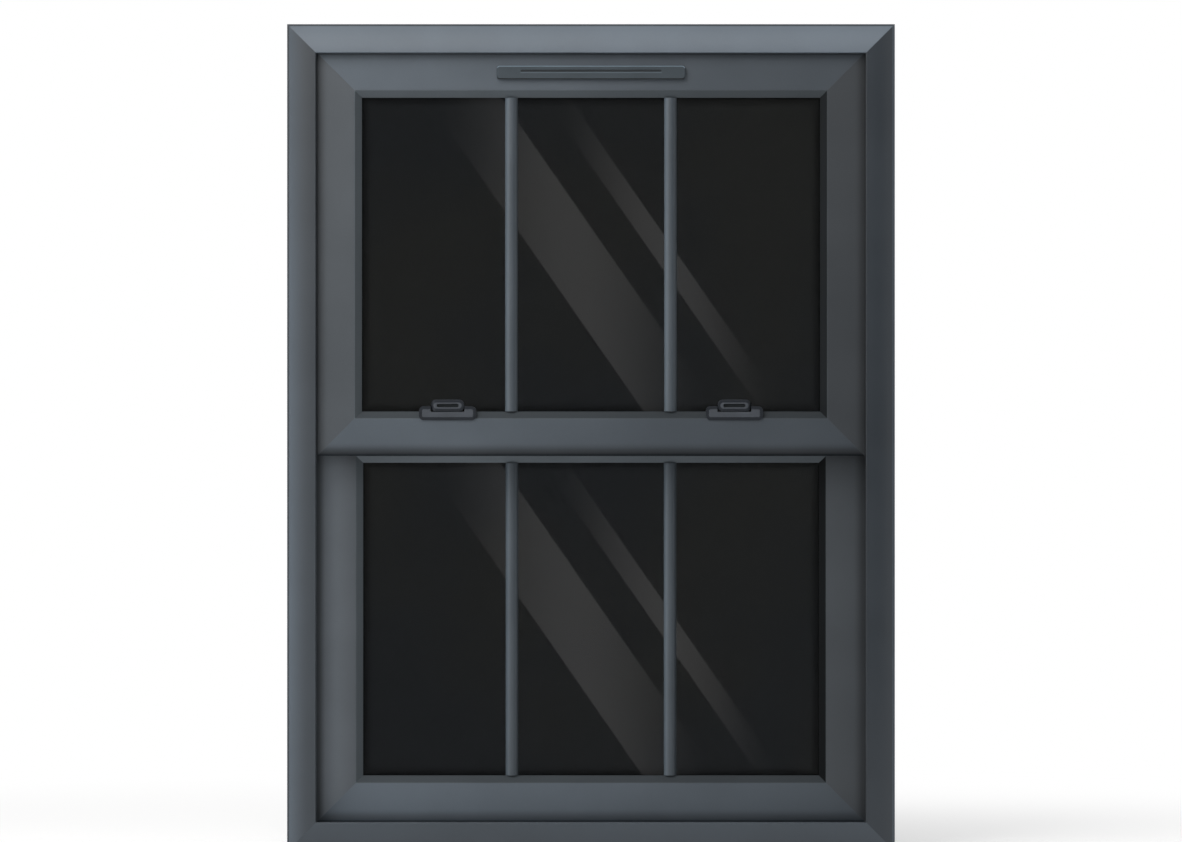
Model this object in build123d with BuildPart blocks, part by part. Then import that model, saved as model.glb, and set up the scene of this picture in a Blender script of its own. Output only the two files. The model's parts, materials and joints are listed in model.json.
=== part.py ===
from build123d import *
from collections import namedtuple
import os

os.makedirs("parts", exist_ok=True)

# All sizes are in millimetres. X runs to the right, Y away from the room and Z up.
# The origin is at the middle of the frame's foot, halfway through its depth.

# Outer frame
frame_width = 915
frame_height = 1245
lip_reach = 44
lip_thickness = 13.5
web_reach = 27.5
face_fall = 14.5
face_bulge = 2.4
edge_strip = 3
edge_step = 1.2
nose_radius = 1.5
rib_reach = 40
rib_thickness = 4
frame_wall = 2.2
chamber_split = 23
fixing_hole_radius = 3.2
fixing_end_distance = 200
fixing_row_offset = 40
drain_length = 30
drain_height = 5
drain_inset = 207.5

# Weather piles in the lips
pile_gap = 2.5
pile_clearance = 0.3
pile_base_width = 4.8
pile_base_depth = 1.2
pile_brush_width = 3
pile_inset = 5.6
pile_groove_clearance = 0.1

# Sashes
sash_depth = 46
sash_gap = 10
sash_clearance = 2
travel_reserve = 115.75
stile_face = 71.5
rail_face = 69.5
meeting_rail_face = 55.5
meeting_offset = 0.5
sash_wall = 2

# Glazing
bead_width = 11
bead_depth = 14
bead_edge = 1
bead_wall = 1.6
bead_crown = 3.6
bead_quirk = 0.5
tongue_length = 3
tongue_thickness = 2
tongue_clearance = 0.25
tongue_setback = 1.5
pocket_step = 5
gasket_thickness = 2
gasket_width = 8
pane_thickness = 4
cavity = 16
glass_edge_gap = 3
spacer_width = 6
spacer_inset = 3
setting_block_length = 60
setting_block_inset = 188

# Glazing bars
bar_share = 0.347
bar_width = 19
bar_height = 9.5
bar_side = 3
bar_end_gap = 0.2
inner_bar_width = 16
inner_bar_depth = 10
rear_bar_height = 5

# Corner cleats
cleat_clearance = 0.2
frame_cleat_length = 62
sash_cleat_width = 26
sash_cleat_length = 70

# Interlock strips in the gap between the meeting rails
interlock_end_gap = 23
interlock_wall = 1.2
interlock_plate = 2
interlock_height = 16
interlock_rise = 3
interlock_shift = 4
interlock_clearance = 0.6
interlock_tip = 12

# Spiral balances
groove_width = 19
groove_depth = 16.5
tube_radius = 8
tube_wall = 0.8
tube_spare = 40
tube_top_gap = 5.5
tube_web_gap = 0.5
spring_radius = 6.8
spring_wall = 1.6
spring_end_gap = 3
spring_top_gap = 12
bush_length = 15
bush_clearance = 0.2
rod_width = 6.4
rod_thickness = 2
rod_pitch = 180
rod_clearance = 0.35
rod_engagement = 26
foot_height = 22
foot_seat = 12
foot_clearance = 0.2

# Travel stops on the jambs
stop_height = 25
stop_width = 11
stop_reach = 11.5
stop_face_gap = 1
stop_clearance = 0.5
stop_edge = 1

# Catches at the meeting rail
catch_inset = 212
catch_base_width = 86
catch_base_height = 21
catch_base_drop = 2
catch_base_proud = 2.3
catch_base_radius = 7
catch_base_depth = 13
catch_clearance = 0.2
cover_rim = 4.5
cover_thickness = 1.2
cover_clearance = 0.1
lever_length = 50
lever_height = 18
lever_proud = 1.3
lever_clearance = 0.5
lever_edge = 0.7
lever_corner = 7.5
barrel_radius = 6.6
finger_slot_length = 33
finger_slot_height = 5.4
finger_slot_depth = 5
spindle_radius = 2.8
spindle_clearance = 0.3
tenon_width = 3
tenon_clearance = 0.05
cam_length = 56
cam_radius = 3.1
cam_thickness = 4
cam_height = 36
cam_clearance = 0.5
keep_length = 62
keep_height = 18
keep_thickness = 1.5
keep_slot_length = 36
keep_slot_height = 8
keep_slot_lead = 5
keep_slot_depth = 9
keep_corner = 3

# Trickle vent on the upper sash's top rail
vent_length = 284
vent_height = 20
vent_drop = 43.5
vent_flap_proud = 8
vent_skin = 2
vent_corner_radius = 5
vent_edge = 1.2
vent_slot_length = 212
vent_slot_height = 3.5
vent_slot_depth = 1
vent_slot_rise = 2.5
hinge_radius = 2
hinge_gap = 0.3
hinge_pin_radius = 1
hinge_pin_clearance = 0.2
vent_base_proud = 4.5
vent_side_gap = 0.6
vent_top_gap = 0.8
vent_lug_length = 6
air_slot_length = 240
air_slot_height = 6
grille_length = 250
grille_height = 10
grille_depth = 3
grille_clearance = 0.2
grille_slit_count = 24
grille_slit_width = 5
grille_slit_height = 5

# Planes through the depth
front_sash_face = -(sash_gap / 2 + sash_depth)
rear_sash_face = sash_gap / 2
front_sash_middle = front_sash_face + sash_depth / 2
rear_sash_middle = rear_sash_face + sash_depth / 2
lip_rear = sash_gap / 2 + sash_depth + pile_gap
half_depth = lip_rear + lip_thickness

# Planes through the height
sash_half_width = frame_width / 2 - web_reach - sash_clearance
meeting_height = frame_height / 2 + meeting_offset
upper_top = frame_height - web_reach - sash_clearance
upper_low = meeting_height - meeting_rail_face / 2
lower_top = meeting_height + meeting_rail_face / 2
lower_low = web_reach + sash_clearance
sash_travel = upper_low - lower_low - travel_reserve
tube_length = sash_travel + tube_spare
tube_top = frame_height - web_reach - tube_top_gap
tube_low = tube_top - tube_length
tube_x = frame_width / 2 - web_reach - tube_web_gap - tube_radius

# Places across the width
catch_centre = sash_half_width - catch_inset
bar_offset = bar_share * (sash_half_width - stile_face - bead_width)
setting_block_offset = sash_half_width - setting_block_inset
interlock_half_length = sash_half_width - interlock_end_gap
drain_offset = frame_width / 2 - drain_inset

# Depths inside a sash, measured from its front face
groove_low = (sash_depth - groove_width) / 2
groove_high = (sash_depth + groove_width) / 2
pane_front = bead_depth + gasket_thickness
unit_rear = pane_front + 2 * pane_thickness + cavity
lip_front = unit_rear + gasket_thickness

Outline = namedtuple("Outline", "half_width low high")

frame_outline = Outline(frame_width / 2, 0, frame_height)
upper_outline = Outline(sash_half_width, upper_low, upper_top)
lower_outline = Outline(sash_half_width, lower_low, lower_top)

TO_REAR = Vector(0, 1, 0)
INWARD = {
    "top": Vector(0, 0, -1),
    "bottom": Vector(0, 0, 1),
    "left": Vector(1, 0, 0),
    "right": Vector(-1, 0, 0),
}


def inset(outline, side_face, low_face, high_face):
    """Smaller rectangle inside an outline."""
    return Outline(outline.half_width - side_face, outline.low + low_face, outline.high - high_face)


def side_middle(side, outline):
    """Middle point of one side of an outline."""
    middle = (outline.low + outline.high) / 2
    points = {
        "top": Vector(0, 0, outline.high),
        "bottom": Vector(0, 0, outline.low),
        "left": Vector(-outline.half_width, 0, middle),
        "right": Vector(outline.half_width, 0, middle),
    }
    return points[side]


def side_half_length(side, outline):
    """Half the length of one side of an outline."""
    if side in ("top", "bottom"):
        return outline.half_width
    return (outline.high - outline.low) / 2


def section_plane(side, outline, front):
    """Plane of a member's section: x runs inward from the outline and y to the rear."""
    inward = INWARD[side]
    return Plane(
        origin=side_middle(side, outline) + TO_REAR * front,
        x_dir=inward,
        z_dir=inward.cross(TO_REAR),
    )


def cut_mitres(side, corners):
    """Cuts both ends of a member at 45 degrees through the corners of a rectangle."""
    inward = INWARD[side]
    along = inward.cross(TO_REAR)
    for toward in (along, along * -1):
        corner = side_middle(side, corners) + toward * side_half_length(side, corners)
        split(bisect_by=Plane(origin=corner, z_dir=(inward + toward) * -1), keep=Keep.TOP)


def mitred_member(section, side, outline, corners, front):
    """Bar with one section along one side of an outline, mitred at both ends."""
    with BuildPart() as member:
        with BuildSketch(section_plane(side, outline, front)):
            add(section)
        extrude(amount=side_half_length(side, outline), both=True)
        cut_mitres(side, corners)
    return member.part


def block(x, y, z, mode=Mode.ADD):
    """Box between a low and a high value on each axis."""
    with Locations((x[0], y[0], z[0])):
        Box(x[1] - x[0], y[1] - y[0], z[1] - z[0], align=(Align.MIN, Align.MIN, Align.MIN), mode=mode)


def chamber(x, y):
    """Rectangular hollow of an extruded section."""
    with Locations((x[0], y[0])):
        Rectangle(x[1] - x[0], y[1] - y[0], align=(Align.MIN, Align.MIN), mode=Mode.SUBTRACT)


def upright(x, y, low, high, radius, mode=Mode.ADD):
    """Round bar or bore along Z."""
    with Locations((x, y, low)):
        Cylinder(radius, high - low, align=(Align.CENTER, Align.CENTER, Align.MIN), mode=mode)


def crosswise(start, end, y, z, radius, mode=Mode.ADD):
    """Round bar or bore along X."""
    with Locations(Location(((start + end) / 2, y, z), (0, 90, 0))):
        Cylinder(radius, abs(end - start), mode=mode)


def group(parts):
    """Several separate solids as one node."""
    return Compound([solid for part in parts for solid in part.solids()])


def write(part, name):
    """Writes one finished piece."""
    part.label = name
    export_step(part, "parts/" + name + ".step")


def write_mirrored(part, name):
    """Writes the same piece for the left-hand side."""
    write(mirror(part, about=Plane.YZ, mode=Mode.PRIVATE), name)


# Section of the outer frame: x runs inward from the outer face, y runs to the rear
def frame_section():
    edge_y = -half_depth + face_fall
    pile_low = lip_reach - pile_inset - pile_base_width / 2 - pile_groove_clearance
    pile_high = lip_reach - pile_inset + pile_base_width / 2 + pile_groove_clearance
    with BuildSketch() as section:
        with BuildLine():
            Polyline((0, edge_y), (edge_strip, edge_y), (edge_strip, edge_y - edge_step))
            SagittaArc(
                (edge_strip, edge_y - edge_step), (lip_reach - nose_radius, -half_depth), -face_bulge
            )
            RadiusArc(
                (lip_reach - nose_radius, -half_depth), (lip_reach, -half_depth + nose_radius), -nose_radius
            )
            Polyline(
                (lip_reach, -half_depth + nose_radius),
                (lip_reach, -lip_rear),
                (web_reach, -lip_rear),
                (web_reach, -rib_thickness / 2),
                (rib_reach, -rib_thickness / 2),
                (rib_reach, rib_thickness / 2),
                (web_reach, rib_thickness / 2),
                (web_reach, lip_rear),
                (lip_reach, lip_rear),
                (lip_reach, half_depth),
                (0, half_depth),
                (0, edge_y),
            )
        make_face()
        # Grooves for the weather piles
        chamber((pile_low, pile_high), (-lip_rear - pile_base_depth, -lip_rear))
        chamber((pile_low, pile_high), (lip_rear, lip_rear + pile_base_depth))
        # Hollow chambers: two in the middle, then the front and rear ones with their lips
        inner = web_reach - frame_wall
        split_low = chamber_split - frame_wall / 2
        split_high = chamber_split + frame_wall / 2
        chamber((frame_wall, inner), (-split_low, -frame_wall / 2))
        chamber((frame_wall, inner), (frame_wall / 2, split_low))
        chamber((frame_wall, inner), (split_high, half_depth - frame_wall))
        slope = (face_fall - edge_step) / (lip_reach - edge_strip)
        with BuildLine():
            Polyline(
                (frame_wall, edge_y + frame_wall),
                (inner, edge_y + frame_wall - slope * (inner - frame_wall)),
                (inner, -split_high),
                (frame_wall, -split_high),
                close=True,
            )
        make_face(mode=Mode.SUBTRACT)
        lip_chamber = (web_reach + frame_wall, lip_reach - frame_wall)
        pile_floor = lip_rear + pile_base_depth + frame_wall
        chamber(lip_chamber, (-half_depth + 2 * frame_wall, -pile_floor))
        chamber(lip_chamber, (pile_floor, half_depth - frame_wall))
    return section.sketch


frame_profile = frame_section()
hole_reach = frame_width / 2 - web_reach - 1
hole_end = frame_width / 2 + 1
fixing_heights = (fixing_end_distance, frame_height - fixing_end_distance)

with BuildPart() as frame_head:
    add(mitred_member(frame_profile, "top", frame_outline, frame_outline, 0))
write(frame_head.part, "frame_head")

with BuildPart() as frame_sill:
    add(mitred_member(frame_profile, "bottom", frame_outline, frame_outline, 0))
    # Drain slots through both track floors and out of the rear wall
    for x in (-drain_offset, drain_offset):
        slot_x = (x - drain_length / 2, x + drain_length / 2)
        floor = (web_reach - frame_wall - 1, web_reach + 1)
        for y in (front_sash_middle, rear_sash_middle):
            block(slot_x, (y - drain_height / 2, y + drain_height / 2), floor, Mode.SUBTRACT)
        outlet = (2 * frame_wall, 2 * frame_wall + drain_height)
        block(slot_x, (half_depth - frame_wall - 1, half_depth + 1), outlet, Mode.SUBTRACT)
write(frame_sill.part, "frame_sill")

with BuildPart() as frame_right_jamb:
    add(mitred_member(frame_profile, "right", frame_outline, frame_outline, 0))
    # Fixing holes through both walls, in the tracks
    for z in fixing_heights:
        for y in (-fixing_row_offset, fixing_row_offset):
            crosswise(hole_reach, hole_end, y, z, fixing_hole_radius, Mode.SUBTRACT)
write(frame_right_jamb.part, "frame_right_jamb")
write_mirrored(frame_right_jamb.part, "frame_left_jamb")


# Corner cleats: L-shaped blocks inside the hollow members
def corner_plane(side_x, x, y, side_z, z):
    """Plane at a corner, with both axes running into the opening."""
    return Plane(origin=(x, y, z), x_dir=(-side_x, 0, 0), z_dir=(0, -side_x * side_z, 0))


def ell(start, width, length):
    """Points of an L with both legs of one width."""
    return [
        (start, start),
        (length, start),
        (length, start + width),
        (start + width, start + width),
        (start + width, length),
        (start, length),
    ]


with BuildPart() as frame_corner_cleats:
    leg = web_reach - 2 * frame_wall - 2 * cleat_clearance
    cleat_depth = chamber_split - frame_wall - 2 * cleat_clearance
    for side_x in (-1, 1):
        for side_z, z in ((-1, 0), (1, frame_height)):
            for y in (-chamber_split / 2, chamber_split / 2):
                with BuildSketch(corner_plane(side_x, side_x * frame_width / 2, y, side_z, z)):
                    with BuildLine():
                        Polyline(*ell(frame_wall + cleat_clearance, leg, frame_cleat_length), close=True)
                    make_face()
                extrude(amount=cleat_depth / 2, both=True)
write(frame_corner_cleats.part, "frame_corner_cleats")


# Weather piles: a woven base in the lip's groove with a brush towards the sash
def pile_section(side_y):
    brush = pile_base_depth + pile_gap - pile_clearance
    middle = lip_reach - pile_inset
    base_y = side_y * (lip_rear + pile_base_depth)
    with BuildSketch() as section:
        with Locations((middle, base_y - side_y * pile_base_depth / 2)):
            Rectangle(pile_base_width, pile_base_depth)
        with Locations((middle, base_y - side_y * brush / 2)):
            Rectangle(pile_brush_width, brush)
    return section.sketch


def weather_piles(side_y):
    section = pile_section(side_y)
    return group(mitred_member(section, side, frame_outline, frame_outline, 0) for side in INWARD)


write(weather_piles(-1), "front_weather_piles")
write(weather_piles(1), "rear_weather_piles")

# Travel stops: one on each jamb for each sash
with BuildPart() as travel_stops:
    stop_x = (frame_width / 2 - web_reach - stop_reach, frame_width / 2 - web_reach)
    front_y = front_sash_face + stop_face_gap
    rear_y = rear_sash_face + sash_depth - stop_face_gap
    front_high = upper_low - sash_travel - stop_clearance
    rear_low = lower_top + sash_travel + stop_clearance
    for side_x in (-1, 1):
        x_range = stop_x if side_x > 0 else (-stop_x[1], -stop_x[0])
        block(x_range, (front_y, front_y + stop_width), (front_high - stop_height, front_high))
        block(x_range, (rear_y - stop_width, rear_y), (rear_low, rear_low + stop_height))
    chamfer(travel_stops.edges().filter_by(Axis.Z), length=stop_edge)
write(travel_stops.part, "travel_stops")

# Balances: tube, spring and bush on the frame
balance_places = [
    (side_x * tube_x, y) for side_x in (-1, 1) for y in (front_sash_middle, rear_sash_middle)
]
tube_bore = tube_radius - tube_wall


def balance_sleeves(low, high, outer, bore):
    """One upright sleeve at each balance."""
    with BuildPart() as sleeves:
        for x, y in balance_places:
            upright(x, y, low, high, outer)
        for x, y in balance_places:
            upright(x, y, low, high, bore, Mode.SUBTRACT)
    return sleeves.part


bush_high = tube_low + bush_length
spring_low = bush_high + spring_end_gap
spring_high = tube_top - spring_top_gap
rod_bore = (rod_width**2 + rod_thickness**2) ** 0.5 / 2 + rod_clearance
write(balance_sleeves(tube_low, tube_top, tube_radius, tube_bore), "balance_tubes")
write(balance_sleeves(spring_low, spring_high, spring_radius, spring_radius - spring_wall), "balance_springs")
write(balance_sleeves(tube_low, bush_high, tube_bore - bush_clearance, rod_bore), "balance_bushes")


# Section of a sash member: x runs inward from the sash's edge, y from its front face to the rear
def sash_section(face, grooved):
    pocket = face - pocket_step
    tongue_low = bead_depth - tongue_setback - tongue_thickness - 2 * tongue_clearance
    tongue_high = bead_depth - tongue_setback
    tongue_floor = face - tongue_length - tongue_clearance
    sight = face + bead_width
    with BuildSketch() as section:
        with BuildLine():
            Polyline(
                (0, 0),
                (face, 0),
                (face, tongue_low),
                (tongue_floor, tongue_low),
                (tongue_floor, tongue_high),
                (face, tongue_high),
                (face, bead_depth),
                (pocket, bead_depth),
                (pocket, lip_front),
                (sight, lip_front),
                (sight, sash_depth),
                (0, sash_depth),
                close=True,
            )
        make_face()
        if grooved:
            chamber((0, groove_depth), (groove_low, groove_high))
        # Front, middle and rear chambers between the walls
        inner = min(pocket, tongue_floor) - sash_wall
        middle_start = groove_depth + sash_wall if grooved else sash_wall
        chamber((sash_wall, inner), (sash_wall, groove_low - sash_wall))
        chamber((middle_start, inner), (groove_low, groove_high))
        chamber((sash_wall, inner), (groove_high + sash_wall, sash_depth - sash_wall))
    return section.sketch


# Section of a glazing bead: x runs inward from the edge of the flat, y to the rear
def bead_section():
    tongue_high = bead_depth - tongue_setback - tongue_clearance
    tongue_low = tongue_high - tongue_thickness
    with BuildSketch() as section:
        with BuildLine():
            Polyline(
                (0, bead_quirk),
                (bead_edge, bead_quirk),
                (bead_width, bead_depth - bead_edge),
                (bead_width, bead_depth),
                (0, bead_depth),
                (0, tongue_high),
                (-tongue_length, tongue_high),
                (-tongue_length, tongue_low),
                (0, tongue_low),
                close=True,
            )
        make_face()
        slope = (bead_depth - bead_edge - bead_quirk) / (bead_width - bead_edge)
        hollow_floor = bead_depth - bead_wall
        hollow_top = bead_quirk + bead_crown
        with BuildLine():
            Polyline(
                (bead_wall, hollow_top),
                (bead_wall, hollow_floor),
                (bead_wall + (hollow_floor - hollow_top) / slope, hollow_floor),
                close=True,
            )
        make_face(mode=Mode.SUBTRACT)
    return section.sketch


def ring(outline, low_inset, high_inset, front, rear):
    """Flat rectangular ring between two insets of an outline."""
    outer = inset(outline, low_inset, low_inset, low_inset)
    inner = inset(outline, high_inset, high_inset, high_inset)
    with BuildPart() as loop:
        block((-outer.half_width, outer.half_width), (front, rear), (outer.low, outer.high))
        block((-inner.half_width, inner.half_width), (front, rear), (inner.low, inner.high), Mode.SUBTRACT)
    return loop.part


def plate(outline, low_inset, front, rear):
    """Flat rectangular plate inside an outline."""
    outer = inset(outline, low_inset, low_inset, low_inset)
    with BuildPart() as sheet:
        block((-outer.half_width, outer.half_width), (front, rear), (outer.low, outer.high))
    return sheet.part


def bead_plane(side, flat, face):
    """Plane of a bead's sloping face, turned towards the opening."""
    inward = INWARD[side]
    run = bead_width - bead_edge
    fall = bead_depth - bead_edge - bead_quirk
    start = side_middle(side, flat) + inward * bead_edge + TO_REAR * (face + bead_quirk)
    return Plane(origin=start, z_dir=inward * fall - TO_REAR * run)


def front_bar(x, flat, face):
    """Rounded bar on the front pane, coped to the beads."""
    back = face + pane_front
    shoulder = back - bar_side
    with BuildPart() as bar:
        with BuildSketch(Plane(origin=(x, 0, flat.low), x_dir=(1, 0, 0), z_dir=(0, 0, 1))):
            with BuildLine():
                Polyline((bar_width / 2, shoulder), (bar_width / 2, back), (-bar_width / 2, back))
                Line((-bar_width / 2, back), (-bar_width / 2, shoulder))
                ThreePointArc(
                    (-bar_width / 2, shoulder), (0, back - bar_height), (bar_width / 2, shoulder)
                )
            make_face()
        extrude(amount=flat.high - flat.low)
        for side in ("top", "bottom"):
            split(bisect_by=bead_plane(side, flat, face).offset(bar_end_gap), keep=Keep.TOP)
            sight = side_middle(side, inset(flat, 0, bead_width + bar_end_gap, bead_width + bar_end_gap))
            split(bisect_by=Plane(origin=sight, z_dir=INWARD[side]), keep=Keep.TOP)
    return bar.part


def rear_bar(x, flat, face):
    """Flatter bar on the rear pane, between the rear lips."""
    sight = inset(flat, 0, bead_width + bar_end_gap, bead_width + bar_end_gap)
    front = face + unit_rear
    with BuildPart() as bar:
        block(
            (x - bar_width / 2, x + bar_width / 2),
            (front, front + rear_bar_height),
            (sight.low, sight.high),
        )
        chamfer(bar.faces().sort_by(Axis.Y)[-1].edges().filter_by(Axis.Z), length=rear_bar_height / 2)
    return bar.part


def spacer_frame(flat, face):
    """Spacer of the sealed unit, with its own bars behind the outer ones."""
    front = face + pane_front + pane_thickness
    rear = front + cavity
    start = glass_edge_gap - pocket_step + spacer_inset
    inner = inset(flat, 0, start + spacer_width, start + spacer_width)
    middle = (front + rear) / 2
    with BuildPart() as spacer:
        add(ring(flat, start, start + spacer_width, front, rear))
        for x in (-bar_offset, bar_offset):
            block(
                (x - inner_bar_width / 2, x + inner_bar_width / 2),
                (middle - inner_bar_depth / 2, middle + inner_bar_depth / 2),
                (inner.low, inner.high),
            )
    return spacer.part


def setting_blocks(flat, face):
    """Blocks that carry the sealed unit on the bottom rail."""
    low = flat.low - pocket_step
    with BuildPart() as blocks:
        for x in (-setting_block_offset, setting_block_offset):
            block(
                (x - setting_block_length / 2, x + setting_block_length / 2),
                (face + pane_front, face + unit_rear),
                (low, low + glass_edge_gap),
            )
    return blocks.part


def sash_cleats(flat, face):
    """Corner cleats in the middle chambers of a sash."""
    start = max(pocket_step, tongue_length + tongue_clearance) + sash_wall + cleat_clearance
    low = face + groove_low + cleat_clearance
    high = face + groove_high - cleat_clearance
    with BuildPart() as cleats:
        for side_x in (-1, 1):
            for side_z, z in ((-1, flat.low), (1, flat.high)):
                plane = corner_plane(-side_x, side_x * flat.half_width, (low + high) / 2, -side_z, z)
                near = start
                far = start + sash_cleat_width
                with BuildSketch(plane):
                    with BuildLine():
                        Polyline(
                            (far, far),
                            (near - sash_cleat_length, far),
                            (near - sash_cleat_length, near),
                            (near, near),
                            (near, near - sash_cleat_length),
                            (far, near - sash_cleat_length),
                            close=True,
                        )
                    make_face()
                extrude(amount=(high - low) / 2, both=True)
    return cleats.part


def balance_feet(outline, middle_y):
    """Foot blocks in the lower ends of the balance grooves."""
    low = outline.low
    with BuildPart() as feet:
        for side_x in (-1, 1):
            floor = side_x * (sash_half_width - groove_depth + foot_clearance)
            edge = side_x * sash_half_width
            block(
                (min(floor, edge), max(floor, edge)),
                (middle_y - groove_width / 2 + foot_clearance, middle_y + groove_width / 2 - foot_clearance),
                (low, low + foot_height),
            )
        # Square seats of the rods
        for side_x in (-1, 1):
            block(
                (side_x * tube_x - rod_bore, side_x * tube_x + rod_bore),
                (middle_y - rod_bore, middle_y + rod_bore),
                (low + foot_seat, low + foot_height),
                Mode.SUBTRACT,
            )
    return feet.part


def balance_rods(low, high, middle_y):
    """Twisted flat rods that run from the feet into the tubes."""
    length = high - low
    with BuildSketch() as strip:
        Rectangle(rod_width, rod_thickness)
    turn = 360 * length / rod_pitch
    rod = Solid.extrude_linear_with_rotation(strip.face(), (0, 0, 0), (0, 0, length), turn)
    return group(rod.moved(Location((side_x * tube_x, middle_y, low))) for side_x in (-1, 1))


# Spindles and cams of the catches, on the right-hand side
axis_x = catch_centre + lever_length / 2 - barrel_radius
axis_y = front_sash_face - lever_proud + barrel_radius
cam_low = upper_low + cam_height - cam_thickness
cam_high = upper_low + cam_height
cam_sweep = cam_length + cam_clearance
keep_slot_x = (axis_x - keep_slot_lead, axis_x - keep_slot_lead + keep_slot_length)
keep_slot_z = ((cam_low + cam_high - keep_slot_height) / 2, (cam_low + cam_high + keep_slot_height) / 2)


def cut_cam_way():
    """Slots that the cams swing through, inside the upper meeting rail and out of its rear wall."""
    way_low = front_sash_face + sash_wall
    way_rear = front_sash_face + sash_depth + 1
    for side_x in (-1, 1):
        with BuildSketch(Plane.XY.offset(cam_low - cam_clearance)) as way:
            with Locations((side_x * axis_x, axis_y)):
                Circle(cam_sweep)
            width = cam_sweep + cam_radius + cam_clearance
            middle = axis_x + cam_sweep - width / 2
            with Locations((side_x * middle, (way_low + way_rear) / 2)):
                Rectangle(width, way_rear - way_low, mode=Mode.INTERSECT)
        extrude(way.sketch, amount=cam_thickness + 2 * cam_clearance, mode=Mode.SUBTRACT)


def cut_keep_slots(front, rear):
    """Slots that the cams enter, in the keeps and the lower sash's meeting rail."""
    for side_x in (-1, 1):
        ends = sorted((side_x * keep_slot_x[0], side_x * keep_slot_x[1]))
        block(ends, (front, rear), keep_slot_z, Mode.SUBTRACT)


def bore_spindles(low, high):
    """Round holes for both spindles between two heights."""
    for side_x in (-1, 1):
        upright(side_x * axis_x, axis_y, low, high, spindle_radius + spindle_clearance, Mode.SUBTRACT)


# Trickle vent: its slot through the upper sash's top rail
vent_middle = upper_top - vent_drop


def cut_air_slot():
    """Air slot through every wall of the rail, with the seat of the outer grille."""
    rear = front_sash_face + sash_depth
    half = air_slot_length / 2
    air_z = (vent_middle - air_slot_height / 2, vent_middle + air_slot_height / 2)
    block((-half, half), (front_sash_face - 1, rear), air_z, Mode.SUBTRACT)
    seat = grille_length / 2 + grille_clearance
    seat_z = grille_height / 2 + grille_clearance
    seat_heights = (vent_middle - seat_z, vent_middle + seat_z)
    block((-seat, seat), (rear - grille_depth, rear + 1), seat_heights, Mode.SUBTRACT)


def cut_groove_ends(outline, face):
    """Runs the balance grooves of the stiles through the ends of a rail."""
    for side_x in (-1, 1):
        ends = sorted((side_x * (sash_half_width - groove_depth), side_x * (sash_half_width + 1)))
        depths = (face + groove_low, face + groove_high)
        block(ends, depths, (outline.low - 1, outline.high + 1), Mode.SUBTRACT)


def write_sash(name, outline, face, low_rail, low_face, high_rail, high_face):
    """Writes every piece that the two sashes have alike."""
    flat = inset(outline, stile_face, low_face, high_face)
    is_upper = outline == upper_outline
    members = {
        low_rail: ("bottom", sash_section(low_face, False)),
        high_rail: ("top", sash_section(high_face, False)),
        "left_stile": ("left", sash_section(stile_face, True)),
        "right_stile": ("right", sash_section(stile_face, True)),
    }
    for piece, (side, section) in members.items():
        with BuildPart() as member:
            add(mitred_member(section, side, outline, flat, face))
            if side in ("top", "bottom"):
                cut_groove_ends(outline, face)
            if is_upper and piece == "top_rail":
                cut_air_slot()
            if is_upper and piece == "meeting_rail":
                cut_cam_way()
                bore_spindles(cam_low, flat.low + bead_width)
            if not is_upper and piece == "meeting_rail":
                cut_keep_slots(face - 1, face + keep_slot_depth)
        write(member.part, name + "_" + piece)
    beads = []
    for side in INWARD:
        with BuildPart() as bead:
            add(mitred_member(bead_section(), side, flat, flat, face))
            if is_upper and side == "bottom":
                bore_spindles(flat.low - 1, flat.low + bead_width + 1)
        beads.append(bead.part)
    write(group(beads), name + "_beads")
    gasket_low = bead_width - gasket_width
    with BuildPart() as gaskets:
        add(ring(flat, gasket_low, bead_width, face + bead_depth, face + pane_front))
        add(ring(flat, gasket_low, bead_width, face + unit_rear, face + lip_front))
    write(gaskets.part, name + "_gaskets")
    edge = glass_edge_gap - pocket_step
    write(plate(flat, edge, face + pane_front, face + pane_front + pane_thickness), name + "_front_pane")
    write(plate(flat, edge, face + unit_rear - pane_thickness, face + unit_rear), name + "_rear_pane")
    write(spacer_frame(flat, face), name + "_spacer")
    write(setting_blocks(flat, face), name + "_setting_blocks")
    write(front_bar(-bar_offset, flat, face), name + "_left_bar")
    write(front_bar(bar_offset, flat, face), name + "_right_bar")
    with BuildPart() as rear_bars:
        for x in (-bar_offset, bar_offset):
            add(rear_bar(x, flat, face))
    write(rear_bars.part, name + "_rear_bars")
    write(sash_cleats(flat, face), name + "_corner_cleats")
    middle_y = face + sash_depth / 2
    write(balance_feet(outline, middle_y), name + "_balance_feet")
    rod_high = tube_low + rod_engagement + (sash_travel if is_upper else 0)
    write(balance_rods(outline.low + foot_seat, rod_high, middle_y), name + "_balance_rods")


catch_low = lower_top - catch_base_drop
catch_high = catch_low + catch_base_height
catch_front = front_sash_face - catch_base_proud
lever_low = lower_top + bead_width

write_sash(
    "top_sash", upper_outline, front_sash_face, "meeting_rail", meeting_rail_face, "top_rail", rail_face
)
write_sash(
    "bottom_sash", lower_outline, rear_sash_face, "bottom_rail", rail_face, "meeting_rail", meeting_rail_face
)


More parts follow.
